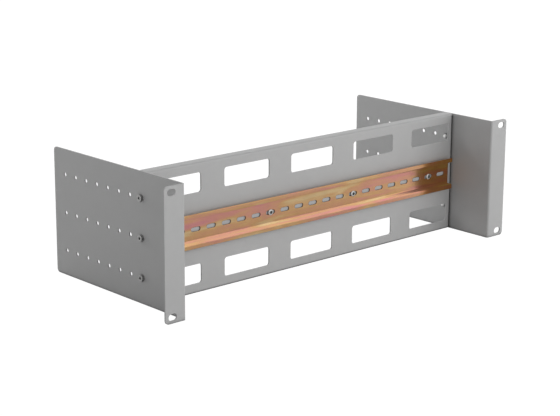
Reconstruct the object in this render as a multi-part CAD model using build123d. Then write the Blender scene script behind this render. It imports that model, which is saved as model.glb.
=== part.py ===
from build123d import *
import os

# Rack-mount panel that carries a DIN rail between two folded side brackets.
# X runs to the right as seen from the front, Y to the back and Z up. The origin is the
# centre of the four ear slots, on the plane where the ears bear on the rack's posts.

# Rack front
rack_width = 482.6
rack_unit = 44.45
units_high = 3
height_gap = 0.35  # room left to the panel above, within whole rack units
ear_width = 23.3
ear_slot_width = 6.8
ear_slot_travel = 3.2  # between the centres of a slot's two round ends
ear_slot_side_inset = 8.75
ear_slot_unit_inset = 6.35  # slot centre to the edge of the whole rack units

# Sheet metal of the brackets and the panel
sheet = 1.5
inside_bend = 0.8
corner_radius = 4.0
relief_gap = 0.4  # corner notch beyond the bend, so that neighbouring folds clear

# Side brackets
overall_depth = 210.0
hole_pitch = 18.0
hole_row_step = 40.0
hole_edge_margin = 12.0  # least distance from the last column to the back edge
hole_clearance = 0.3

# Cross panel
panel_recess = 57.5  # ears' front faces to the panel's face
lip_depth = 12.0
lip_end_gap = 0.25  # lip ends to the side plates
flange_depth = 16.0
fold_corner_radius = 2.0
window_width = 60.0
window_height = 20.0
window_radius = 3.0
window_gap = 30.0
window_edge = 10.0
window_side_margin = 4.0  # least sheet left outside the last window
collar_height = 1.5
collar_wall = 0.8  # at the rim
collar_taper = 0.3  # wall gained from the rim to the root

# DIN rail
rail_width = 35.0
rail_height = 7.5
rail_channel = 27.0
rail_sheet = 1.0
rail_inside_bend = 0.5
rail_end_gap = 6.5  # rail end to the side bracket
rail_slot_width = 4.5
rail_slot_travel = 7.5
rail_slot_pitch = 19.75
rail_end_margin = 5.0  # least web left outside the last slot

# Socket head screws with a low cylindrical head
screw_diameter = 4.0
screw_length = 6.0
screw_head_diameter = 7.0
screw_head_height = 2.8
screw_head_chamfer = 0.3
screw_tip_chamfer = 0.5
socket_across_flats = 2.5
socket_floor = 1.2
screw_turn = 23.0  # degrees from one tightened screw to the next
thread_clearance = 0.05

# Blind rivets, set
rivet_diameter = 3.2
rivet_hole_clearance = 0.05
rivet_flange_diameter = 6.5
rivet_flange_height = 0.9
rivet_flange_rim = 0.3
rivet_crown_diameter = 3.4  # flat ring round the mandrel
rivet_tail_diameter = 4.8
rivet_tail_length = 3.4
rivet_tail_seat = 4.0  # where the swollen tail bears on the panel's back
mandrel_diameter = 1.8
mandrel_fit = 0.02
mandrel_break_depth = 1.4  # broken stem below the rivet's seat
mandrel_head_diameter = 2.8
mandrel_head_height = 1.3
mandrel_head_taper = 0.7  # both along and across, at the head's far end

# Places that follow from the sizes above
bend_outer = inside_bend + sheet
relief = bend_outer + relief_gap
panel_height = units_high * rack_unit - height_gap
half_height = panel_height / 2
ear_front_y = -sheet
plate_back_y = ear_front_y + overall_depth
panel_face_y = ear_front_y + panel_recess
plate_outer_x = rack_width / 2 - ear_width
plate_inner_x = plate_outer_x - sheet
slot_x = rack_width / 2 - ear_slot_side_inset
slot_z = units_high * rack_unit / 2 - ear_slot_unit_inset
screw_y = panel_face_y + flange_depth / 2
hole_columns = int((plate_back_y - hole_edge_margin - screw_y) / hole_pitch) + 1
hole_rows = {"top": hole_row_step, "middle": 0, "bottom": -hole_row_step}
window_pitch = window_width + window_gap
window_count = int((2 * (plate_inner_x - window_side_margin) + window_gap) / window_pitch)
window_row_step = panel_height - 2 * window_edge - window_height
rail_length = 2 * (plate_inner_x - rail_end_gap)
rail_web_y = panel_face_y - rail_sheet
slot_reach = rail_length / 2 - rail_end_margin - (rail_slot_travel + rail_slot_width) / 2
slots_each_side = int(slot_reach / rail_slot_pitch)
outer_rivet_slot = slots_each_side - 1
inner_rivet_slot = slots_each_side // 3
rivet_slots = (-outer_rivet_slot, -inner_rivet_slot, inner_rivet_slot, outer_rivet_slot)
rivet_grip = rail_sheet + sheet


def across(x, y, z):
    """Plane at a point that looks along X, with Y as its first direction."""
    return Plane(origin=(x, y, z), x_dir=(0, 1, 0), z_dir=(1, 0, 0))


def facing_front(x, y, z):
    """Plane at a point that looks to the front, with X as its first direction."""
    return Plane(origin=(x, y, z), x_dir=(1, 0, 0), z_dir=(0, -1, 0))


def folded(points, plane, thickness, inner_radius, width):
    """Sheet folded along a line through its middle, equally wide on both sides of the plane."""
    middle = FilletPolyline(*points, radius=inner_radius + thickness / 2)
    return extrude(plane * trace(middle, thickness), width / 2, both=True)


def rounded_corners(part, thickness_axis, outward_axis, radius):
    """Rounds the corners of a folded sheet that lie furthest out along an axis."""
    corners = part.edges().filter_by(thickness_axis).group_by(outward_axis)[-1]
    return fillet(corners, radius)


def bracket_holes():
    """Clearance holes of a side plate, whose first column takes the panel's screws."""
    middle_y = screw_y + hole_pitch * (hole_columns - 1) / 2
    middle = across(plate_outer_x - sheet / 2, middle_y, 0)
    grid = GridLocations(hole_pitch, hole_row_step, hole_columns, len(hole_rows))
    drill = Cylinder((screw_diameter + hole_clearance) / 2, 2 * sheet)
    return [middle * place * drill for place in grid]


def ear_slots():
    """Slots of one ear, above and below the middle."""
    outline = SlotCenterToCenter(ear_slot_travel, ear_slot_width)
    cutter = extrude(outline, sheet, both=True)
    return [facing_front(slot_x, -sheet / 2, z) * cutter for z in (-slot_z, slot_z)]


def make_right_bracket():
    """Side plate and ear, folded outwards from one sheet."""
    plate_x = plate_outer_x - sheet / 2
    line = [(plate_x, plate_back_y), (plate_x, -sheet / 2), (rack_width / 2, -sheet / 2)]
    bracket = folded(line, Plane.XY, sheet, inside_bend, panel_height)
    bracket = rounded_corners(bracket, Axis.X, Axis.Y, corner_radius)
    bracket = rounded_corners(bracket, Axis.Y, Axis.X, corner_radius)
    return bracket - bracket_holes() - ear_slots()


def panel_lips():
    """Face with its top and bottom lips, which reach over the end flanges' place."""
    depth = lip_depth - sheet / 2
    top = half_height - sheet / 2
    line = [(depth, -top), (0, -top), (0, top), (depth, top)]
    section = across(0, panel_face_y + sheet / 2, 0)
    lips = folded(line, section, sheet, inside_bend, 2 * (plate_inner_x - lip_end_gap))
    lips = rounded_corners(lips, Axis.Z, Axis.Y, fold_corner_radius)
    end = Box(2 * relief, 3 * sheet, 2 * (half_height - bend_outer))
    ends = [Pos(x, panel_face_y + sheet / 2, 0) * end for x in (-plate_inner_x, plate_inner_x)]
    return lips - ends


def panel_flanges():
    """Face with its two end flanges, which clear the lips' bends."""
    side = plate_inner_x - sheet / 2
    near = panel_face_y + sheet / 2
    far = panel_face_y + flange_depth
    line = [(-side, far), (-side, near), (side, near), (side, far)]
    flanges = folded(line, Plane.XY, sheet, inside_bend, 2 * (half_height - relief))
    return rounded_corners(flanges, Axis.X, Axis.Y, fold_corner_radius)


def side_screw_seats():
    """Places of the side screws on the side plates' outer faces, seen along the screws."""
    seats = {}
    for side, sign in (("left", -1), ("right", 1)):
        for row, z in hole_rows.items():
            seat = Plane(origin=(sign * plate_outer_x, screw_y, z), x_dir=(0, 1, 0), z_dir=(sign, 0, 0))
            seats[f"{side}_{row}_screw"] = seat
    return seats


def with_collars(panel):
    """Collars plunged inwards from the flanges, for the side screws' threads."""
    rim = screw_diameter / 2 + thread_clearance + collar_wall
    height = sheet + collar_height
    collar = Pos(0, 0, -sheet - height / 2) * Cone(rim, rim + collar_taper, height)
    return panel + [seat * collar for seat in side_screw_seats().values()]


def windows():
    """Cutters of the two rows of windows."""
    cutter = extrude(RectangleRounded(window_width, window_height, window_radius), sheet, both=True)
    middle = facing_front(0, panel_face_y + sheet / 2, 0)
    grid = GridLocations(window_pitch, window_row_step, window_count, 2)
    return [middle * place * cutter for place in grid]


def panel_bores():
    """Tapped bores through the flanges' collars, and rivet holes behind the rail."""
    tapped = Cylinder(screw_diameter / 2 + thread_clearance, 4 * (sheet + collar_height))
    riveted = Cylinder(rivet_diameter / 2 + rivet_hole_clearance, 2 * (rivet_grip + sheet))
    bores = [seat * tapped for seat in side_screw_seats().values()]
    bores += [seat * riveted for seat in rivet_seats().values()]
    return bores


def make_panel():
    """Cross panel folded from one sheet, with lips, end flanges, windows and threads."""
    panel = panel_lips() + panel_flanges()
    panel = with_collars(panel)
    return panel - windows() - panel_bores()


def rail_slots():
    """Row of slots in the rail's web."""
    cutter = extrude(SlotCenterToCenter(rail_slot_travel, rail_slot_width), 2 * rail_sheet, both=True)
    count = 2 * slots_each_side + 1
    middle = facing_front(0, panel_face_y, 0)
    return [middle * place * cutter for place in GridLocations(rail_slot_pitch, 0, count, 1)]


def make_rail():
    """Top-hat rail with its web on the panel's face and its lips to the front."""
    lip_y = -(rail_height - rail_sheet / 2)
    web_y = -rail_sheet / 2
    wall = (rail_channel - rail_sheet) / 2
    edge = rail_width / 2
    line = [(lip_y, -edge), (lip_y, -wall), (web_y, -wall), (web_y, wall), (lip_y, wall), (lip_y, edge)]
    rail = folded(line, across(0, panel_face_y, 0), rail_sheet, rail_inside_bend, rail_length)
    return rail - rail_slots()


def rivet_seats():
    """Places of the rivets on the rail's web, in two slots on each side of the middle."""
    seats = {}
    for number, slot in enumerate(rivet_slots, start=1):
        seats[f"rivet_{number}"] = facing_front(slot * rail_slot_pitch, rail_web_y, 0)
    return seats


def screw_blank():
    """Turned outline of a screw, with the seat of its head at height zero."""
    head = screw_head_diameter / 2
    shank = screw_diameter / 2
    outline = Polyline(
        (0, -screw_length),
        (shank - screw_tip_chamfer, -screw_length),
        (shank, screw_tip_chamfer - screw_length),
        (shank, 0),
        (head, 0),
        (head, screw_head_height - screw_head_chamfer),
        (head - screw_head_chamfer, screw_head_height),
        (0, screw_head_height),
        close=True,
    )
    return revolve(Plane.XZ * make_face(outline), Axis.Z)


def make_screw():
    """Low cylinder head screw with a hexagon socket."""
    hexagon = RegularPolygon(socket_across_flats / 2, 6, major_radius=False)
    socket = Pos(0, 0, socket_floor) * extrude(hexagon, screw_head_height)
    return screw_blank() - socket


def make_rivet():
    """Set blind rivet: crowned flange, sleeve through rail and panel, and swollen tail."""
    bore = mandrel_diameter / 2 + mandrel_fit
    sleeve = rivet_diameter / 2
    flange = rivet_flange_diameter / 2
    end = rivet_grip + rivet_tail_length
    outline = Polyline(
        (bore, rivet_flange_height),
        (bore, -end),
        (sleeve, -end),
        (rivet_tail_diameter / 2, -rivet_grip - rivet_tail_length / 2),
        (rivet_tail_seat / 2, -rivet_grip),
        (sleeve, -rivet_grip),
        (sleeve, 0),
        (flange, 0),
        (flange, rivet_flange_rim),
        (rivet_crown_diameter / 2, rivet_flange_height),
        close=True,
    )
    return revolve(Plane.XZ * make_face(outline), Axis.Z)


def make_mandrel():
    """Broken stem that stays in a set rivet, with its head drawn against the tail."""
    stem = mandrel_diameter / 2
    head = mandrel_head_diameter / 2
    end = rivet_grip + rivet_tail_length
    tip = end + mandrel_head_height
    outline = Polyline(
        (0, -tip),
        (0, -mandrel_break_depth),
        (stem, -mandrel_break_depth),
        (stem, -end),
        (head, -end),
        (head, mandrel_head_taper - tip),
        (head - mandrel_head_taper, -tip),
        close=True,
    )
    return revolve(Plane.XZ * make_face(outline), Axis.Z)


def make_parts():
    """Every piece at its place, by node name."""
    right_bracket = make_right_bracket()
    screw = make_screw()
    rivet = make_rivet()
    mandrel = make_mandrel()
    parts = {
        "left_bracket": mirror(right_bracket, about=Plane.YZ),
        "right_bracket": right_bracket,
        "panel": make_panel(),
        "din_rail": make_rail(),
    }
    for count, (name, seat) in enumerate(side_screw_seats().items()):
        parts[name] = seat * Rot(Z=count * screw_turn) * screw
    for name, seat in rivet_seats().items():
        parts[name] = seat * rivet
        parts[name + "_mandrel"] = seat * mandrel
    return parts


os.makedirs("parts", exist_ok=True)
for node, solid in make_parts().items():
    solid.label = node
    export_step(solid, f"parts/{node}.step")
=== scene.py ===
import math

import bpy
from bpy.props import FloatProperty, FloatVectorProperty, IntProperty, PointerProperty
from mathutils import Matrix, Vector


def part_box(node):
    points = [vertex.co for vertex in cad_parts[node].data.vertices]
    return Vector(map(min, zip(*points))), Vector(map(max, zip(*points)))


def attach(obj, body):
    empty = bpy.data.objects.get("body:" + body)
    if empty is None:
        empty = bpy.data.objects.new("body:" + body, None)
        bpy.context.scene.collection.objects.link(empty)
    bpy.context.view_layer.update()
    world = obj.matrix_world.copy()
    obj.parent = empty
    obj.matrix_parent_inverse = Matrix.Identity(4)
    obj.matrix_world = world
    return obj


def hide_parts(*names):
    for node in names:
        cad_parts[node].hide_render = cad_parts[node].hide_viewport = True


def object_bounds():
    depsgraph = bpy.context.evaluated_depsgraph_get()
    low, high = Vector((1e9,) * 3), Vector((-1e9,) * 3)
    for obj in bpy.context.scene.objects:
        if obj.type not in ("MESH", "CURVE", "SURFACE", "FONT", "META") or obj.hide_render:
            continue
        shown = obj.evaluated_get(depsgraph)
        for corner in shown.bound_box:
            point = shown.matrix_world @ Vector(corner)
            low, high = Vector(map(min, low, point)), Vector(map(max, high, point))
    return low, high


bl_info = {
    "name": "Rack DIN Rail Panel Finish",
    "version": (1, 0, 0),
    "blender": (4, 5, 0),
    "location": "View3D > Sidebar > Rail Panel",
    "description": "Finishes, fasteners and studio for a rack panel that carries a DIN rail",
    "category": "Object",
}

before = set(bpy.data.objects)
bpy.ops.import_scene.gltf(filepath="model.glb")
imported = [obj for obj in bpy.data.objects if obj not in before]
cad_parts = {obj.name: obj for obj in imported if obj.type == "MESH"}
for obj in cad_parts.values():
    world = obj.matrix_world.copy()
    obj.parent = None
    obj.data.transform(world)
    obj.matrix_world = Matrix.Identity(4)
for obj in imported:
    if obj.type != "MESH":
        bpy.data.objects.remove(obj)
cad_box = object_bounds()

MILLIMETRE = 0.001
SHEET_NODES = ("left_bracket", "right_bracket", "panel")
SCREW_NODES = [
    f"{side}_{row}_screw" for side in ("left", "right") for row in ("top", "middle", "bottom")
]
RIVET_NODES = [
    name for name in sorted(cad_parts) if name.startswith("rivet_") and name[-1].isdigit()
]
# Nearly all values of a noise lie between these two
NOISE_LOW = 0.3
NOISE_HIGH = 0.7
# Bends of a turned piece from this angle on are drawn sharp
SHARP_FROM = math.radians(32)


class PaintFinish(bpy.types.PropertyGroup):
    """Powder coat of the brackets and the panel."""

    colour: FloatVectorProperty(
        name="Colour",
        description="Light grey of the powder coat",
        subtype="COLOR",
        size=4,
        min=0,
        max=1,
        default=(0.342, 0.342, 0.342, 1),
    )
    roughness: FloatProperty(
        name="Roughness",
        description="How dull the powder coat is",
        subtype="FACTOR",
        min=0,
        max=1,
        default=0.48,
    )
    grain: FloatProperty(
        name="Grain",
        description="Width of the powder's fine bumps",
        unit="LENGTH",
        default=0.5 * MILLIMETRE,
    )
    grain_height: FloatProperty(
        name="Grain Height",
        description="Height of the powder's fine bumps",
        unit="LENGTH",
        default=0.03 * MILLIMETRE,
    )
    edge_radius: FloatProperty(
        name="Edge Radius",
        description="How far the coat rounds a cut edge",
        unit="LENGTH",
        default=0.35 * MILLIMETRE,
    )
    # Painted highlight: the coat's colour is made lighter on its sharp edges
    edge_highlight_share: FloatProperty(
        name="Edge Share",
        description="Brightness of the coat on an edge as a share of the rest",
        min=0,
        default=1.12,
    )
    # Painted shade: these two set how the coat's colour is darkened in holes, slots and corners
    shade_reach: FloatProperty(
        name="Nook Reach",
        description="How near another surface has to be to dim the coat in holes and corners",
        unit="LENGTH",
        default=5 * MILLIMETRE,
    )
    painted_shade_depth: FloatProperty(
        name="Nook Depth",
        description="How much the coat is dimmed in a closed nook",
        subtype="FACTOR",
        min=0,
        max=1,
        default=0.85,
    )


class RailFinish(bpy.types.PropertyGroup):
    """Yellow passivation of the rail."""

    pale: FloatVectorProperty(
        name="Pale",
        description="Palest bands of the passivation",
        subtype="COLOR",
        size=4,
        min=0,
        max=1,
        default=(0.72, 0.52, 0.28, 1),
    )
    gold: FloatVectorProperty(
        name="Gold",
        description="Main colour of the passivation",
        subtype="COLOR",
        size=4,
        min=0,
        max=1,
        default=(0.68, 0.40, 0.19, 1),
    )
    blush: FloatVectorProperty(
        name="Blush",
        description="Pink bands of the passivation",
        subtype="COLOR",
        size=4,
        min=0,
        max=1,
        default=(0.68, 0.32, 0.25, 1),
    )
    violet: FloatVectorProperty(
        name="Violet",
        description="Rare violet bands of the passivation",
        subtype="COLOR",
        size=4,
        min=0,
        max=1,
        default=(0.66, 0.28, 0.29, 1),
    )
    band_length: FloatProperty(
        name="Band Length",
        description="Length of a colour band along the rail",
        unit="LENGTH",
        default=85 * MILLIMETRE,
    )
    band_width: FloatProperty(
        name="Band Width",
        description="Width of a colour band across the rail",
        unit="LENGTH",
        default=11 * MILLIMETRE,
    )
    band_stops: FloatVectorProperty(
        name="Band Stops",
        description="Noise values at which pale, gold, blush and violet are reached",
        size=4,
        min=0,
        max=1,
        default=(0.36, 0.47, 0.61, 0.74),
    )
    band_seed: IntProperty(
        name="Band Seed",
        description="Which run of the noise the colour bands are taken from",
        default=578,
    )
    # Painted reflection: the right end of the rail is tinted browner, standing in for the mirrored
    # right bracket
    reflection_tone: FloatVectorProperty(
        name="End Tone",
        description="Share of each colour that is left on the browner right end",
        subtype="COLOR",
        size=4,
        min=0,
        max=1,
        default=(1.0, 0.86, 0.50, 1),
    )
    reflection_start: FloatProperty(
        name="End Start",
        description="Where the rail begins to turn browner, from its middle",
        unit="LENGTH",
        default=155 * MILLIMETRE,
    )
    reflection_full: FloatProperty(
        name="End Full",
        description="Where the rail is at its brownest, from its middle",
        unit="LENGTH",
        default=170 * MILLIMETRE,
    )
    # Painted shade: a dark colour on the cut faces in the slots stands in for the shade there
    cut: FloatVectorProperty(
        name="Cut",
        description="Colour of the cut faces in the slots",
        subtype="COLOR",
        size=4,
        min=0,
        max=1,
        default=(0.26, 0.18, 0.12, 1),
    )
    slot_row: FloatProperty(
        name="Slot Row",
        description="Half the height of the strip that holds the slots",
        unit="LENGTH",
        default=3 * MILLIMETRE,
    )
    slot_run: FloatProperty(
        name="Slot Run",
        description="Half the length of the strip that holds the slots",
        unit="LENGTH",
        default=206 * MILLIMETRE,
    )
    roughness: FloatProperty(
        name="Roughness",
        description="How dull the rail is",
        subtype="FACTOR",
        min=0,
        max=1,
        default=0.21,
    )
    stretch: FloatProperty(
        name="Stretch",
        description="How far the drawing lines pull reflections out across the rail",
        subtype="FACTOR",
        min=0,
        max=1,
        default=0.8,
    )
    line_length: FloatProperty(
        name="Line Length",
        description="Length of the fine drawing lines along the rail",
        unit="LENGTH",
        default=40 * MILLIMETRE,
    )
    line_width: FloatProperty(
        name="Line Width",
        description="Width of the fine drawing lines",
        unit="LENGTH",
        default=0.4 * MILLIMETRE,
    )
    bend_radius: FloatProperty(
        name="Bend Radius",
        description="How far the light sees the rail's bends and cut edges rounded",
        unit="LENGTH",
        default=0.6 * MILLIMETRE,
    )
    wall_height: FloatProperty(
        name="Wall Height",
        description="Height of the rail's walls over its middle",
        unit="LENGTH",
        default=12.4 * MILLIMETRE,
    )
    wall_reach: FloatProperty(
        name="Wall Reach",
        description="How far the soft bend beside a wall reaches into the web",
        unit="LENGTH",
        default=2 * MILLIMETRE,
    )
    wall_lean: FloatProperty(
        name="Wall Lean",
        description="How far the light sees the rail's walls lean, as forward over outward",
        min=0,
        default=1.5,
    )


class FastenerShape(bpy.types.PropertyGroup):
    """Sizes and colours of the screws and rivets that the solids leave out."""

    head_height: FloatProperty(
        name="Head Height",
        description="Height of a screw's head",
        unit="LENGTH",
        default=2.8 * MILLIMETRE,
    )
    socket_width: FloatProperty(
        name="Socket Width",
        description="Hexagon socket across its flats",
        unit="LENGTH",
        default=2.5 * MILLIMETRE,
    )
    socket_floor: FloatProperty(
        name="Socket Floor",
        description="Height of the socket's floor over the head's seat",
        unit="LENGTH",
        default=1.2 * MILLIMETRE,
    )
    thread_diameter: FloatProperty(
        name="Thread Diameter",
        description="Outer diameter of a screw's thread",
        unit="LENGTH",
        default=4 * MILLIMETRE,
    )
    thread_pitch: FloatProperty(
        name="Thread Pitch",
        description="Distance from one turn of the thread to the next",
        unit="LENGTH",
        default=0.7 * MILLIMETRE,
    )
    screw_turn: FloatProperty(
        name="Screw Turn",
        description="How much further each screw is turned than the one before",
        unit="ROTATION",
        default=math.radians(23),
    )
    zinc: FloatVectorProperty(
        name="Zinc",
        description="Colour of the screws' heads",
        subtype="COLOR",
        size=4,
        min=0,
        max=1,
        default=(0.38, 0.38, 0.375, 1),
    )
    zinc_roughness: FloatProperty(
        name="Zinc Roughness",
        description="How dull the screws are",
        subtype="FACTOR",
        min=0,
        max=1,
        default=0.34,
    )
    # Painted shade: the screws' sockets are darkened in their colour
    socket_shade: FloatProperty(
        name="Socket Shade",
        description="How much a screw's socket is dimmed",
        subtype="FACTOR",
        min=0,
        max=1,
        default=0.6,
    )
    # Painted highlight: the shank below the seat is made brighter than the head
    shank_highlight_share: FloatProperty(
        name="Shank Share",
        description="Colour of a screw's bright shank as a share of its head's colour",
        min=0,
        default=2.1,
    )
    aluminium: FloatVectorProperty(
        name="Aluminium",
        description="Colour of the rivets",
        subtype="COLOR",
        size=4,
        min=0,
        max=1,
        default=(0.66, 0.66, 0.65, 1),
    )
    aluminium_roughness: FloatProperty(
        name="Aluminium Roughness",
        description="How dull the rivets are",
        subtype="FACTOR",
        min=0,
        max=1,
        default=0.38,
    )
    crown_height: FloatProperty(
        name="Crown Height",
        description="Height of a rivet's flange",
        unit="LENGTH",
        default=0.9 * MILLIMETRE,
    )
    rivet_grip: FloatProperty(
        name="Rivet Grip",
        description="Thickness of the sheets that a rivet holds together",
        unit="LENGTH",
        default=2.5 * MILLIMETRE,
    )
    sleeve_diameter: FloatProperty(
        name="Sleeve Diameter",
        description="Diameter of a rivet's sleeve within the sheets",
        unit="LENGTH",
        default=3.2 * MILLIMETRE,
    )
    tail_diameter: FloatProperty(
        name="Tail Diameter",
        description="Diameter of a rivet's swollen tail",
        unit="LENGTH",
        default=4.8 * MILLIMETRE,
    )
    tail_seat: FloatProperty(
        name="Tail Seat",
        description="Diameter on which a rivet's tail bears on the sheet",
        unit="LENGTH",
        default=4 * MILLIMETRE,
    )
    # Painted shade: the dish in each rivet's crown is darkened in its colour
    dish_shade: FloatProperty(
        name="Dish Shade",
        description="How much the dish in a rivet's crown is dimmed",
        subtype="FACTOR",
        min=0,
        max=1,
        default=0.92,
    )
    dish_rim: FloatProperty(
        name="Dish Rim",
        description="How far the dimmed dish reaches beyond the stem's bore",
        unit="LENGTH",
        default=0.65 * MILLIMETRE,
    )
    stem_diameter: FloatProperty(
        name="Stem Diameter",
        description="Diameter of the bore that the stem fills",
        unit="LENGTH",
        default=1.84 * MILLIMETRE,
    )
    steel: FloatVectorProperty(
        name="Steel",
        description="Colour of the broken stems in the rivets",
        subtype="COLOR",
        size=4,
        min=0,
        max=1,
        default=(0.05, 0.05, 0.05, 1),
    )
    steel_roughness: FloatProperty(
        name="Steel Roughness",
        description="How dull the broken stems are",
        subtype="FACTOR",
        min=0,
        max=1,
        default=0.5,
    )
    facets: IntProperty(
        name="Facets",
        description="Flat faces round a turned piece",
        min=24,
        default=96,
    )


class StudioSetting(bpy.types.PropertyGroup):
    """Camera, floor and lights."""

    camera_place: FloatVectorProperty(
        name="Camera Place",
        description="Where the camera stands",
        subtype="TRANSLATION",
        unit="LENGTH",
        default=(-1.1177, -1.1237, 0.4217),
    )
    camera_heading: FloatProperty(
        name="Camera Heading",
        description="Turn of the view from straight back towards the right",
        unit="ROTATION",
        default=math.radians(42.271),
    )
    camera_dip: FloatProperty(
        name="Camera Dip",
        description="How far the view points down",
        unit="ROTATION",
        default=math.radians(14.753),
    )
    camera_roll: FloatProperty(
        name="Camera Roll",
        description="Lean of the camera about its own view",
        unit="ROTATION",
        default=math.radians(-0.339),
    )
    lens: FloatProperty(
        name="Lens",
        description="Focal length in millimetres",
        subtype="DISTANCE_CAMERA",
        default=102.99,
    )
    floor_size: FloatProperty(
        name="Floor Size",
        description="Width and depth of the floor",
        unit="LENGTH",
        default=16,
    )
    floor_colour: FloatVectorProperty(
        name="Floor Colour",
        description="Colour of the floor as it lights the object",
        subtype="COLOR",
        size=4,
        min=0,
        max=1,
        default=(0.8, 0.8, 0.8, 1),
    )
    floor_glow: FloatProperty(
        name="Floor Glow",
        description="White that the camera alone sees on the floor",
        min=0,
        default=1.0,
    )
    sky_strength: FloatProperty(
        name="Sky Strength",
        description="Even light from all round",
        min=0,
        default=0.42,
    )
    sky_reflection: FloatProperty(
        name="Sky Reflection",
        description="Brightness of the sky in the metal's reflections",
        min=0,
        default=1.1,
    )
    light_size: FloatProperty(
        name="Light Size",
        description="Width of each soft light",
        unit="LENGTH",
        default=1.8,
    )
    light_distance: FloatProperty(
        name="Light Distance",
        description="Distance of each soft light from the object's middle",
        unit="LENGTH",
        default=2.4,
    )
    light_lift: FloatProperty(
        name="Light Lift",
        description="Angle of each soft light over the object",
        unit="ROTATION",
        default=math.radians(15),
    )
    front_power: FloatProperty(
        name="Front Power",
        description="Power of the light in front",
        unit="POWER",
        min=0,
        default=26,
    )
    right_power: FloatProperty(
        name="Right Power",
        description="Power of the light at the front right",
        unit="POWER",
        min=0,
        default=25,
    )
    back_power: FloatProperty(
        name="Back Power",
        description="Power of the light behind",
        unit="POWER",
        min=0,
        default=88,
    )


def add_node(tree, kind, inputs=None, **settings):
    """Node with its settings, its input values, and links for inputs given as sockets."""
    made = tree.nodes.new(kind)
    for name, value in settings.items():
        setattr(made, name, value)
    for name, value in (inputs or {}).items():
        if isinstance(value, bpy.types.NodeSocket):
            tree.links.new(value, made.inputs[name])
        else:
            made.inputs[name].default_value = value
    return made


def calculated(tree, operation, first, second=0.0):
    """Result of a calculation with one or two values."""
    return add_node(tree, "ShaderNodeMath", {0: first, 1: second}, operation=operation).outputs[0]


def ranged(tree, value, start, end, low=0.0, high=1.0):
    """Value moved from the range between start and end to the one between low and high."""
    limits = {"Value": value, "From Min": start, "From Max": end, "To Min": low, "To Max": high}
    return add_node(tree, "ShaderNodeMapRange", limits).outputs[0]


def scaled(tree, colour, share):
    """Colour or vector times a share."""
    factors = {0: colour, "Scale": share}
    return add_node(tree, "ShaderNodeVectorMath", factors, operation="SCALE").outputs["Vector"]


def blended(tree, share, first, second):
    """Colour that goes from the first to the second as the share rises."""
    mixed = {"Factor": share, "A": first, "B": second}
    return add_node(tree, "ShaderNodeMix", mixed, data_type="RGBA").outputs["Result"]


def along(tree, vector, axis):
    """Part of a vector along one axis."""
    return add_node(tree, "ShaderNodeSeparateXYZ", {0: vector}).outputs[axis]


def noise(tree, place, scale, detail, roughness, distortion=0.0):
    """Value of a noise at a place."""
    inputs = {"Vector": place, "Scale": scale, "Detail": detail}
    inputs.update({"Roughness": roughness, "Distortion": distortion})
    return add_node(tree, "ShaderNodeTexNoise", inputs).outputs[0]


def own_place(tree):
    """Place on the piece, in the piece's own coordinates."""
    return add_node(tree, "ShaderNodeTexCoord").outputs["Object"]


def placed_group(tree, group, **inputs):
    """Shared group placed in a material with its own values."""
    return add_node(tree, "ShaderNodeGroup", inputs, node_tree=group).outputs


def new_group(name, inputs, outputs):
    """Empty shader group with its sockets, each given as a name and a kind."""
    tree = bpy.data.node_groups.new(name, "ShaderNodeTree")
    for label, kind in inputs:
        tree.interface.new_socket(label, in_out="INPUT", socket_type=kind)
    for label, kind in outputs:
        tree.interface.new_socket(label, in_out="OUTPUT", socket_type=kind)
    given = tree.nodes.new("NodeGroupInput").outputs
    result = tree.nodes.new("NodeGroupOutput").inputs
    return tree, given, result


def grain_group():
    """Fine bumps and a broad mottle, from a place on the piece and the width of a bump."""
    name = "fine_grain"
    if name in bpy.data.node_groups:
        return bpy.data.node_groups[name]
    tree, given, result = new_group(
        name,
        [("Place", "NodeSocketVector"), ("Width", "NodeSocketFloat")],
        [("Height", "NodeSocketFloat"), ("Mottle", "NodeSocketFloat")],
    )
    # A spot of the mottle is 25 bumps wide
    mottle_share = 1 / 25
    per_metre = calculated(tree, "DIVIDE", 1.0, given["Width"])
    broader = calculated(tree, "MULTIPLY", per_metre, mottle_share)
    fine = noise(tree, given["Place"], per_metre, detail=2.0, roughness=0.55)
    broad = noise(tree, given["Place"], broader, detail=3.0, roughness=0.6)
    tree.links.new(fine, result["Height"])
    tree.links.new(broad, result["Mottle"])
    return tree


def edge_group():
    """Rounded normal and a mask at sharp edges, from a radius."""
    name = "soft_edge"
    if name in bpy.data.node_groups:
        return bpy.data.node_groups[name]
    tree, given, result = new_group(
        name,
        [("Radius", "NodeSocketFloat")],
        [("Normal", "NodeSocketVector"), ("Edge", "NodeSocketFloat")],
    )
    # How far the rounded normal agrees with the true one where an edge begins and is full
    edge_begins = 0.99
    edge_full = 0.8
    rounded = add_node(tree, "ShaderNodeBevel", {"Radius": given["Radius"]}, samples=6).outputs[0]
    both = {0: rounded, 1: add_node(tree, "ShaderNodeNewGeometry").outputs["True Normal"]}
    agreement = add_node(tree, "ShaderNodeVectorMath", both, operation="DOT_PRODUCT")
    edge = ranged(tree, agreement.outputs["Value"], edge_begins, edge_full)
    tree.links.new(rounded, result["Normal"])
    tree.links.new(edge, result["Edge"])
    return tree


def new_material(name, **uniform):
    """Material with its Principled shader and the values that are the same all over."""
    made = bpy.data.materials.new(name)
    made.use_nodes = True
    shader = made.node_tree.nodes["Principled BSDF"]
    for label, value in uniform.items():
        shader.inputs[label].default_value = value
    return made, made.node_tree, shader


def shade(tree, shader, colour, mottle, depth):
    """Feeds the base colour, darkened by the mottle to a share of itself."""
    share = ranged(tree, mottle, NOISE_LOW, NOISE_HIGH, 1.0 - depth, 1.0)
    tree.links.new(scaled(tree, colour, share), shader.inputs["Base Color"])


def spread_roughness(tree, shader, value, middle, spread):
    """Feeds a roughness that varies about its middle."""
    varied = ranged(tree, value, NOISE_LOW, NOISE_HIGH, middle - spread, middle + spread)
    tree.links.new(varied, shader.inputs["Roughness"])


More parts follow.
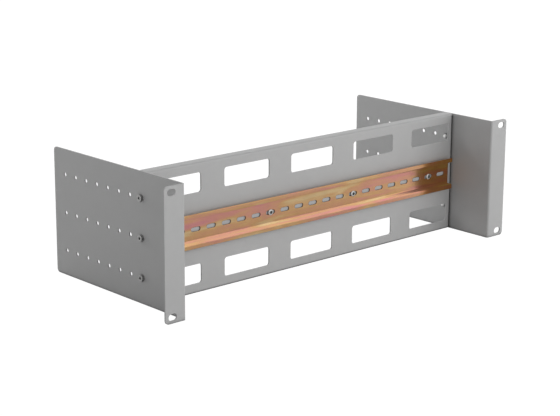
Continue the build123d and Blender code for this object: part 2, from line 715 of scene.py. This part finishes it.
def bump(tree, shader, height, distance, strength, normal=None):
    """Feeds a bumped normal."""
    inputs = {"Height": height, "Distance": distance, "Strength": strength}
    if normal is not None:
        inputs["Normal"] = normal
    tree.links.new(add_node(tree, "ShaderNodeBump", inputs).outputs[0], shader.inputs["Normal"])


def paint_material(finish):
    """Satin powder coat, with a painted highlight on its edges and painted shade in holes, slots
    and corners.
    """
    made, tree, shader = new_material("powder_coat", Metallic=0.0, IOR=1.5)
    # Shares of open air at which the painted shade is full and at which it ends
    closed = 0.3
    clear = 0.75
    grain = placed_group(tree, grain_group(), Place=own_place(tree), Width=finish.grain)
    # Painted highlight: the colour is made lighter where the edge mask finds a sharp edge
    edge = placed_group(tree, edge_group(), Radius=finish.edge_radius)
    highlight_colour = [min(1.0, channel * finish.edge_highlight_share) for channel in finish.colour[:3]]
    colour = blended(tree, edge["Edge"], finish.colour[:], highlight_colour + [1.0])
    # Painted shade: ambient occlusion darkens the coat's colour in holes, slots and corners
    reach = {"Distance": finish.shade_reach}
    air = add_node(tree, "ShaderNodeAmbientOcclusion", reach, samples=6).outputs["AO"]
    share = ranged(tree, air, closed, clear, 1.0 - finish.painted_shade_depth)
    shade(tree, shader, scaled(tree, colour, share), grain["Mottle"], depth=0.03)
    spread_roughness(tree, shader, grain["Mottle"], finish.roughness, spread=0.03)
    bump(tree, shader, grain["Height"], finish.grain_height, strength=0.25, normal=edge["Normal"])
    return made


def dress(node, material):
    """Puts one material on a solid of the frame."""
    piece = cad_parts[node]
    piece.data.materials.clear()
    piece.data.materials.append(material)


class RAILPANEL_OT_sheets(bpy.types.Operator):
    """Paint the side brackets and the cross panel"""

    bl_idname = "railpanel.sheets"
    bl_label = "Paint Sheets"

    def execute(self, context):
        paint = paint_material(context.scene.paint_finish)
        for node in SHEET_NODES:
            dress(node, paint)
        return {"FINISHED"}


def ribbon(tree, place, length, width, seed):
    """Noise drawn out along the rail, from the length and the width of one streak."""
    inputs = {"Vector": place, "Location": (seed, seed, seed)}
    inputs["Scale"] = (1 / length, 1 / width, 1 / width)
    drawn = add_node(tree, "ShaderNodeMapping", inputs).outputs[0]
    return noise(tree, drawn, 1.0, detail=4.0, roughness=0.55, distortion=0.6)


def lean_group():
    """Normal that leans forward inside the rail's walls and turns inward on the web beside them."""
    name = "leaning_normal"
    if name in bpy.data.node_groups:
        return bpy.data.node_groups[name]
    tree, given, result = new_group(
        name,
        [
            ("Normal", "NodeSocketVector"),
            ("Place", "NodeSocketVector"),
            ("Height", "NodeSocketFloat"),
            ("Reach", "NodeSocketFloat"),
            ("Lean", "NodeSocketFloat"),
        ],
        [("Normal", "NodeSocketVector")],
    )
    height = along(tree, given["Place"], "Z")
    outward = calculated(tree, "SIGN", height)
    off = calculated(tree, "ABSOLUTE", height)
    begin = calculated(tree, "SUBTRACT", given["Height"], given["Reach"])
    near = ranged(tree, off, begin, given["Height"])
    rise = calculated(tree, "MULTIPLY", along(tree, given["Normal"], "Z"), outward)
    inner_face = ranged(tree, rise, 0.0, -1.0)
    on_web = calculated(tree, "LESS_THAN", off, given["Height"])
    wall = calculated(tree, "MULTIPLY", near, inner_face)
    web = calculated(tree, "MULTIPLY", near, on_web)
    lean = calculated(tree, "MULTIPLY", wall, given["Lean"])
    forward = calculated(tree, "MULTIPLY", lean, -1.0)
    inward = calculated(tree, "MULTIPLY", calculated(tree, "MULTIPLY", web, outward), -1.0)
    turn = add_node(tree, "ShaderNodeCombineXYZ", {"Y": forward, "Z": inward}).outputs[0]
    both = {0: given["Normal"], 1: turn}
    turned = add_node(tree, "ShaderNodeVectorMath", both, operation="ADD").outputs["Vector"]
    unit = add_node(tree, "ShaderNodeVectorMath", {0: turned}, operation="NORMALIZE")
    tree.links.new(unit.outputs["Vector"], result["Normal"])
    return tree


def slot_shade_group():
    """Mask of the painted shade on the cut faces in a row of slots along X, from a place and the
    row's half sizes.
    """
    name = "slot_cut"
    if name in bpy.data.node_groups:
        return bpy.data.node_groups[name]
    tree, given, result = new_group(
        name,
        [("Place", "NodeSocketVector"), ("Row", "NodeSocketFloat"), ("Run", "NodeSocketFloat")],
        [("Mask", "NodeSocketFloat")],
    )
    # A cut face looks less than this to the front or the back
    forward_limit = 0.5

    def within(vector, axis, limit):
        size = calculated(tree, "ABSOLUTE", along(tree, vector, axis))
        return calculated(tree, "LESS_THAN", size, limit)

    normal = add_node(tree, "ShaderNodeNewGeometry").outputs["True Normal"]
    cut_face = within(normal, "Y", forward_limit)
    in_row = within(given["Place"], "Z", given["Row"])
    in_run = within(given["Place"], "X", given["Run"])
    in_strip = calculated(tree, "MULTIPLY", in_row, in_run)
    tree.links.new(calculated(tree, "MULTIPLY", cut_face, in_strip), result["Mask"])
    return tree


def passivation_colour(tree, finish, place):
    """Colour bands along the rail, with a painted reflection of the right bracket that turns the
    right end browner, and painted shade on the slots' cut faces.
    """
    bands = ribbon(tree, place, finish.band_length, finish.band_width, finish.band_seed)
    ramp = add_node(tree, "ShaderNodeValToRGB", {"Fac": bands})
    stops = ramp.color_ramp.elements
    stops.remove(stops[-1])
    stops[0].position = finish.band_stops[0]
    stops[0].color = finish.pale[:]
    later_colours = (finish.gold, finish.blush, finish.violet)
    for position, colour in zip(finish.band_stops[1:], later_colours):
        stops.new(position).color = colour[:]
    # Painted reflection: the colour turns browner towards the right end
    share = ranged(tree, along(tree, place, "X"), finish.reflection_start, finish.reflection_full)
    tone = blended(tree, share, (1, 1, 1, 1), finish.reflection_tone[:])
    both = {0: ramp.outputs["Color"], 1: tone}
    toned = add_node(tree, "ShaderNodeVectorMath", both, operation="MULTIPLY").outputs["Vector"]
    # Painted shade: the slots' cut faces get the dark colour
    mask = placed_group(tree, slot_shade_group(), Place=place, Row=finish.slot_row, Run=finish.slot_run)
    return blended(tree, mask["Mask"], toned, finish.cut[:])


def passivation_material(finish):
    """Zinc with yellow passivation, drawn lines along the rail and soft bends."""
    uniform = {"Metallic": 1.0, "Anisotropic": finish.stretch}
    made, tree, shader = new_material("yellow_passivation", **uniform)
    around_rail = add_node(tree, "ShaderNodeTangent", direction_type="RADIAL", axis="X")
    tree.links.new(around_rail.outputs[0], shader.inputs["Tangent"])
    place = own_place(tree)
    grain = placed_group(tree, grain_group(), Place=place, Width=0.8 * MILLIMETRE)
    shade(tree, shader, passivation_colour(tree, finish, place), grain["Mottle"], depth=0.08)
    lines = ribbon(tree, place, finish.line_length, finish.line_width, seed=7)
    spread_roughness(tree, shader, lines, finish.roughness, spread=0.05)
    edge = placed_group(tree, edge_group(), Radius=finish.bend_radius)
    leaning = placed_group(
        tree,
        lean_group(),
        Normal=edge["Normal"],
        Place=place,
        Height=finish.wall_height,
        Reach=finish.wall_reach,
        Lean=finish.wall_lean,
    )
    # The drawing lines are a few thousandths of a millimetre deep
    line_depth = 0.004 * MILLIMETRE
    bump(tree, shader, lines, line_depth, strength=0.4, normal=leaning["Normal"])
    return made


class RAILPANEL_OT_rail(bpy.types.Operator):
    """Give the DIN rail its yellow passivation"""

    bl_idname = "railpanel.rail"
    bl_label = "Finish Rail"

    def execute(self, context):
        dress("din_rail", passivation_material(context.scene.rail_finish))
        return {"FINISHED"}


def shade_and_highlight_group():
    """Share of the colour left by painted shade in a recess about Z, and by a painted highlight on
    the shank below the seat.
    """
    name = "dim_recess"
    if name in bpy.data.node_groups:
        return bpy.data.node_groups[name]
    tree, given, result = new_group(
        name,
        [
            ("Place", "NodeSocketVector"),
            ("Radius", "NodeSocketFloat"),
            ("Darkness", "NodeSocketFloat"),
            ("Shank", "NodeSocketFloat"),
        ],
        [("Share", "NodeSocketFloat")],
    )
    # The painted shade fades out between these shares of the radius
    inner = 0.9
    outer = 1.1
    across = {0: given["Place"], 1: (1, 1, 0)}
    flat = add_node(tree, "ShaderNodeVectorMath", across, operation="MULTIPLY").outputs["Vector"]
    off = add_node(tree, "ShaderNodeVectorMath", {0: flat}, operation="LENGTH").outputs["Value"]
    ratio = calculated(tree, "DIVIDE", off, given["Radius"])
    least = calculated(tree, "SUBTRACT", 1.0, given["Darkness"])
    share = ranged(tree, ratio, inner, outer, least)
    # On the shank below the seat the share is the painted highlight's instead
    below = calculated(tree, "LESS_THAN", along(tree, given["Place"], "Z"), 0.0)
    either = {"Factor": below, "A": share, "B": given["Shank"]}
    tree.links.new(add_node(tree, "ShaderNodeMix", either).outputs["Result"], result["Share"])
    return tree


def metal_material(name, colour, roughness, grain_width, radius=0.0, darkness=0.0, shank=1.0):
    """Plain metal with fine marks, with painted shade within a radius about Z and a painted
    highlight on its shank.
    """
    made, tree, shader = new_material(name, Metallic=1.0)
    place = own_place(tree)
    grain = placed_group(tree, grain_group(), Place=place, Width=grain_width)
    tone = colour[:3]
    # Painted shade in the recess and a painted highlight on the shank, both as a share of the
    # colour
    if darkness:
        inputs = {"Radius": radius, "Darkness": darkness, "Shank": shank}
        recess = placed_group(tree, shade_and_highlight_group(), Place=place, **inputs)
        tone = scaled(tree, tone, recess["Share"])
    shade(tree, shader, tone, grain["Mottle"], depth=0.15)
    spread_roughness(tree, shader, grain["Mottle"], roughness, spread=0.06)
    mark_depth = 0.01 * MILLIMETRE
    bump(tree, shader, grain["Height"], mark_depth, strength=0.3)
    return made


def turned_mesh(name, rings, facets, bored=False):
    """Closed mesh about Z from rings of a height and a radius, which may change with the angle."""
    angles = [2 * math.pi * step / facets for step in range(facets)]
    points = []
    for height, radius in rings:
        for angle in angles:
            reach = radius(angle) if callable(radius) else radius
            points.append((reach * math.cos(angle), reach * math.sin(angle), height))
    faces = []
    for ring in range(len(rings) if bored else len(rings) - 1):
        low, high = ring * facets, (ring + 1) % len(rings) * facets
        for step in range(facets):
            after = (step + 1) % facets
            faces.append((low + step, low + after, high + after, high + step))
    if not bored:
        first, last = len(points), len(points) + 1
        points.append((0, 0, rings[0][0]))
        points.append((0, 0, rings[-1][0]))
        top = (len(rings) - 1) * facets
        for step in range(facets):
            after = (step + 1) % facets
            faces.append((first, after, step))
            faces.append((last, top + step, top + after))
    mesh = bpy.data.meshes.new(name)
    mesh.from_pydata(points, [], faces)
    mesh.validate()
    mesh.update()
    mesh.shade_smooth()
    mesh.set_sharp_from_angle(angle=SHARP_FROM)
    return mesh


def arc(centre, radius, start, end, steps):
    """Rings of a round stretch of an outline, between two angles in degrees."""
    middle_radius, middle_height = centre
    rings = []
    for step in range(steps + 1):
        angle = math.radians(start + (end - start) * step / steps)
        height = middle_height + radius * math.sin(angle)
        rings.append((height, middle_radius + radius * math.cos(angle)))
    return rings


def hexagon(across_flats):
    """Radius of a hexagon at an angle."""
    sixth = math.pi / 3
    return lambda angle: across_flats / 2 / math.cos(angle % sixth - sixth / 2)


def thread_rings(shape, start, end):
    """Rings of a thread between two heights, each ring's radius turning with the height."""
    crest = shape.thread_diameter / 2
    pitch = shape.thread_pitch
    # A metric thread is this share of its pitch deep
    depth = 0.61 * pitch
    # The shank beside the thread is this much thinner than the crest
    plain_depth = 0.3 * depth
    # Over half a turn the cut rises from the crest's flat and is held at the root
    steepness = 1.35
    crest_flat = 0.12
    rings_per_turn = 8
    count = round((end - start) / pitch * rings_per_turn)
    rings = []
    for index in range(count + 1):
        height = start + (end - start) * index / count
        fade = max(0.0, min(1.0, (height - start) / pitch, (end - height) / pitch))

        def radius(angle, height=height, fade=fade):
            turn = (height / pitch - angle / (2 * math.pi)) % 1.0
            flank = steepness * (1 - abs(2 * turn - 1)) - crest_flat
            cut = min(1.0, max(0.0, flank))
            return crest - depth * cut * fade - plain_depth * (1 - fade)

        rings.append((height, radius))
    return rings


def screw_mesh(shape, length, head_diameter):
    """Low cylinder head screw with a knurled head, a hexagon socket and a thread."""
    shank = shape.thread_diameter / 2
    head = head_diameter / 2
    top = shape.head_height
    floor = shape.socket_floor
    flat = shape.socket_width / 2
    corner = shape.socket_width / math.sqrt(3)
    socket = hexagon(shape.socket_width)
    tip = top - length
    tip_chamfer = 0.5 * MILLIMETRE
    neck = 0.15 * MILLIMETRE
    seat_chamfer = 0.2 * MILLIMETRE
    knurl = 0.05 * MILLIMETRE
    rounding = 0.3 * MILLIMETRE
    lead = 0.15 * MILLIMETRE
    drill = 0.9 * flat
    drill_rim = 0.02 * MILLIMETRE
    drill_depth = 0.35 * MILLIMETRE
    drill_point = 0.05 * MILLIMETRE

    def knurled(angle):
        step = round(angle / (2 * math.pi) * shape.facets)
        return head - (knurl if step % 2 else 0.0)

    rings = [(tip, shank - tip_chamfer)]
    rings += thread_rings(shape, tip + tip_chamfer, -neck)
    rings += [
        (0.0, shank),
        (0.0, head - seat_chamfer),
        (neck, head - knurl),
        (neck + seat_chamfer, knurled),
        (top - 2 * rounding, knurled),
        (top - 1.5 * rounding, head - knurl),
    ]
    rings += arc((head - knurl - rounding, top - rounding), rounding, start=0, end=90, steps=5)
    rings += [
        (top, corner + lead),
        (top - lead, socket),
        (floor, socket),
        (floor - drill_rim, drill),
        (floor - drill_depth, drill_point),
    ]
    return turned_mesh("socket_screw", rings, shape.facets)


def screw_place(shape, node, turn):
    """Place of a screw with its seat on the side plate, its head outward and its socket turned."""
    low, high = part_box(node)
    middle = (low + high) / 2
    side = math.copysign(1, middle.x)
    seat = side * (max(abs(low.x), abs(high.x)) - shape.head_height)
    outward = Matrix(((0, 0, side), (1, 0, 0), (0, side, 0))).to_4x4()
    spin = Matrix.Rotation(turn, 4, "Z")
    return Matrix.Translation((seat, middle.y, middle.z)) @ outward @ spin


class RAILPANEL_OT_screws(bpy.types.Operator):
    """Put detailed socket screws in the side brackets"""

    bl_idname = "railpanel.screws"
    bl_label = "Make Side Screws"

    def execute(self, context):
        shape = context.scene.fastener_shape
        low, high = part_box(SCREW_NODES[0])
        mesh = screw_mesh(shape, high.x - low.x, high.y - low.y)
        # The screws' metal has painted shade in the socket and a painted highlight on the shank
        zinc = metal_material(
            "bright_zinc",
            shape.zinc,
            shape.zinc_roughness,
            grain_width=0.3 * MILLIMETRE,
            radius=shape.socket_width / 2,
            darkness=shape.socket_shade,
            shank=shape.shank_highlight_share,
        )
        mesh.materials.append(zinc)
        for count, node in enumerate(SCREW_NODES):
            piece = bpy.data.objects.new(node + "_threaded", mesh)
            context.scene.collection.objects.link(piece)
            piece.matrix_world = screw_place(shape, node, count * shape.screw_turn)
            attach(piece, "root")
            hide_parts(node)
        return {"FINISHED"}


def rivet_mesh(shape, low, high):
    """Set blind rivet about Z, with a crowned and dished flange and a swollen tail."""
    flange = (high.x - low.x) / 2
    crown = shape.crown_height
    end = crown - (high.y - low.y)
    grip = shape.rivet_grip
    sleeve = shape.sleeve_diameter / 2
    seat = shape.tail_seat / 2
    swell = shape.tail_diameter / 2 - (sleeve + seat) / 2
    bore = shape.stem_diameter / 2
    rim = 0.15 * MILLIMETRE
    dish = 0.45 * MILLIMETRE
    shelf = 0.6 * dish
    shelf_depth = 0.12 * MILLIMETRE
    tail_steps = 12
    crown_steps = 8
    rings = [(end, bore), (end, sleeve)]
    for step in range(1, tail_steps + 1):
        share = step / tail_steps
        straight = sleeve + (seat - sleeve) * share
        height = end + (-grip - end) * share
        rings.append((height, straight + swell * math.sin(math.pi * share)))
    rings += [(-grip, sleeve), (0.0, sleeve), (0.0, flange - rim)]
    rings += arc((flange - rim, rim), rim, start=-90, end=60, steps=5)
    shoulder_height, shoulder = rings[-1]
    for step in range(1, crown_steps + 1):
        turn = math.pi / 2 * step / crown_steps
        height = shoulder_height + (crown - shoulder_height) * math.sin(turn)
        rings.append((height, bore + dish + (shoulder - bore - dish) * math.cos(turn)))
    rings += [(crown - shelf_depth, bore + shelf), (crown - dish, bore)]
    return turned_mesh("blind_rivet", rings, shape.facets // 2, bored=True)


class RAILPANEL_OT_rivets(bpy.types.Operator):
    """Put rounded rivets on the rail and finish the stems that stay in them"""

    bl_idname = "railpanel.rivets"
    bl_label = "Make Rivets"

    def execute(self, context):
        shape = context.scene.fastener_shape
        mesh = rivet_mesh(shape, *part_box(RIVET_NODES[0]))
        # The rivets' aluminium has painted shade in the dish about the stem
        aluminium = metal_material(
            "dull_aluminium",
            shape.aluminium,
            shape.aluminium_roughness,
            grain_width=0.25 * MILLIMETRE,
            radius=shape.stem_diameter / 2 + shape.dish_rim,
            darkness=shape.dish_shade,
        )
        mesh.materials.append(aluminium)
        steel = metal_material(
            "broken_stem", shape.steel, shape.steel_roughness, grain_width=0.2 * MILLIMETRE
        )
        to_front = Matrix(((1, 0, 0), (0, 0, -1), (0, 1, 0))).to_4x4()
        for node in RIVET_NODES:
            low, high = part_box(node)
            middle = (low + high) / 2
            seat = (middle.x, low.y + shape.crown_height, middle.z)
            piece = bpy.data.objects.new(node + "_crowned", mesh)
            context.scene.collection.objects.link(piece)
            piece.matrix_world = Matrix.Translation(seat) @ to_front
            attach(piece, "root")
            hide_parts(node)
            dress(node + "_mandrel", steel)
        return {"FINISHED"}


def floor_material(setting):
    """Plain floor that lights the object as a grey one and looks white to the camera."""
    made, tree, shader = new_material("studio_floor", Metallic=0.0, Roughness=0.9)
    grain = placed_group(tree, grain_group(), Place=own_place(tree), Width=20 * MILLIMETRE)
    seen = add_node(tree, "ShaderNodeLightPath").outputs["Is Camera Ray"]
    lit = blended(tree, seen, setting.floor_colour[:], (0, 0, 0, 1))
    shade(tree, shader, lit, grain["Mottle"], depth=0.004)
    shader.inputs["Emission Color"].default_value = (1, 1, 1, 1)
    glow = ranged(tree, seen, 0.0, 1.0, 0.0, setting.floor_glow)
    tree.links.new(glow, shader.inputs["Emission Strength"])
    return made


def make_floor(setting):
    """Level floor under the middle of the object."""
    low, high = cad_box
    middle = (low + high) / 2
    half = setting.floor_size / 2
    mesh = bpy.data.meshes.new("floor")
    corners = [(-half, -half, 0), (half, -half, 0), (half, half, 0), (-half, half, 0)]
    mesh.from_pydata(corners, [], [(0, 1, 2, 3)])
    mesh.materials.append(floor_material(setting))
    floor = bpy.data.objects.new("floor", mesh)
    floor.location = (middle.x, middle.y, low.z)
    bpy.context.scene.collection.objects.link(floor)


def make_soft_light(setting, name, bearing, power):
    """Square soft light aimed at the object, on a bearing in degrees from the front."""
    data = bpy.data.lights.new(name, "AREA")
    data.shape = "SQUARE"
    data.size = setting.light_size
    data.energy = power
    lamp = bpy.data.objects.new(name, data)
    lamp.visible_camera = False
    lamp.visible_glossy = False
    bpy.context.scene.collection.objects.link(lamp)
    low, high = cad_box
    turn = math.radians(bearing)
    level = math.cos(setting.light_lift)
    rise = math.sin(setting.light_lift)
    away = Vector((math.sin(turn) * level, -math.cos(turn) * level, rise))
    lamp.location = (low + high) / 2 + away * setting.light_distance
    lamp.rotation_euler = away.to_track_quat("Z", "Y").to_euler()


def make_sky(setting):
    """Even white sky, with a strength each for the light, the reflections and the camera."""
    world = bpy.data.worlds.new("studio_sky")
    world.use_nodes = True
    tree = world.node_tree
    sky = tree.nodes["Background"]
    sky.inputs["Color"].default_value = (1, 1, 1, 1)
    ray = add_node(tree, "ShaderNodeLightPath").outputs
    dim, bright = setting.sky_strength, setting.sky_reflection
    reflected = ranged(tree, ray["Is Glossy Ray"], 0.0, 1.0, dim, bright)
    strength = ranged(tree, ray["Is Camera Ray"], 0.0, 1.0, reflected, 1.0)
    tree.links.new(strength, sky.inputs["Strength"])
    bpy.context.scene.world = world


def make_camera(setting):
    """Camera at the place, heading, dip and roll that are set."""
    data = bpy.data.cameras.new("photo_camera")
    data.sensor_fit = "HORIZONTAL"
    data.sensor_width = 36
    data.lens = setting.lens
    data.clip_start = 0.05
    data.clip_end = 100
    camera = bpy.data.objects.new("photo_camera", data)
    bpy.context.scene.collection.objects.link(camera)
    turn, dip, roll = setting.camera_heading, setting.camera_dip, setting.camera_roll
    level = Vector((math.cos(turn), -math.sin(turn), 0))
    ahead = Vector((math.sin(turn), math.cos(turn), 0))
    forward = ahead * math.cos(dip) - Vector((0, 0, math.sin(dip)))
    down = forward.cross(level)
    right = math.cos(roll) * level + math.sin(roll) * down
    up = math.sin(roll) * level - math.cos(roll) * down
    axes = Matrix((right, up, -forward)).transposed().to_4x4()
    camera.matrix_world = Matrix.Translation(setting.camera_place) @ axes
    bpy.context.scene.camera = camera


class RAILPANEL_OT_studio(bpy.types.Operator):
    """Set up the floor, the lights and the camera"""

    bl_idname = "railpanel.studio"
    bl_label = "Set Up Studio"

    def execute(self, context):
        setting = context.scene.studio_setting
        make_floor(setting)
        make_soft_light(setting, "front_light", bearing=0, power=setting.front_power)
        make_soft_light(setting, "right_light", bearing=45, power=setting.right_power)
        make_soft_light(setting, "back_light", bearing=180, power=setting.back_power)
        make_sky(setting)
        context.scene.view_settings.view_transform = "Standard"
        make_camera(setting)
        return {"FINISHED"}


class RAILPANEL_PT_sidebar(bpy.types.Panel):
    """Steps and values of the rail panel's finish"""

    bl_idname = "RAILPANEL_PT_sidebar"
    bl_label = "Rail Panel"
    bl_space_type = "VIEW_3D"
    bl_region_type = "UI"
    bl_category = "Rail Panel"

    def draw(self, context):
        layout = self.layout
        for step in STEPS:
            layout.operator(step.bl_idname)
        for name in SETTINGS:
            group = getattr(context.scene, name)
            box = layout.box()
            for value in group.bl_rna.properties.keys():
                if value not in ("rna_type", "name"):
                    box.prop(group, value)


STEPS = (
    RAILPANEL_OT_sheets,
    RAILPANEL_OT_rail,
    RAILPANEL_OT_screws,
    RAILPANEL_OT_rivets,
    RAILPANEL_OT_studio,
)
SETTINGS = {
    "paint_finish": PaintFinish,
    "rail_finish": RailFinish,
    "fastener_shape": FastenerShape,
    "studio_setting": StudioSetting,
}


def register():
    """Add the settings, the steps and the sidebar to Blender."""
    for group in SETTINGS.values():
        bpy.utils.register_class(group)
    for name, group in SETTINGS.items():
        setattr(bpy.types.Scene, name, PointerProperty(type=group))
    for step in STEPS:
        bpy.utils.register_class(step)
    bpy.utils.register_class(RAILPANEL_PT_sidebar)


def unregister():
    """Take away what register added, in the opposite order."""
    bpy.utils.unregister_class(RAILPANEL_PT_sidebar)
    for step in reversed(STEPS):
        bpy.utils.unregister_class(step)
    for name in SETTINGS:
        delattr(bpy.types.Scene, name)
    for group in SETTINGS.values():
        bpy.utils.unregister_class(group)


def main():
    """Dress the frame step by step."""
    register()
    bpy.ops.railpanel.sheets()
    bpy.ops.railpanel.rail()
    bpy.ops.railpanel.screws()
    bpy.ops.railpanel.rivets()
    bpy.ops.railpanel.studio()


if __name__ == "__main__":
    main()
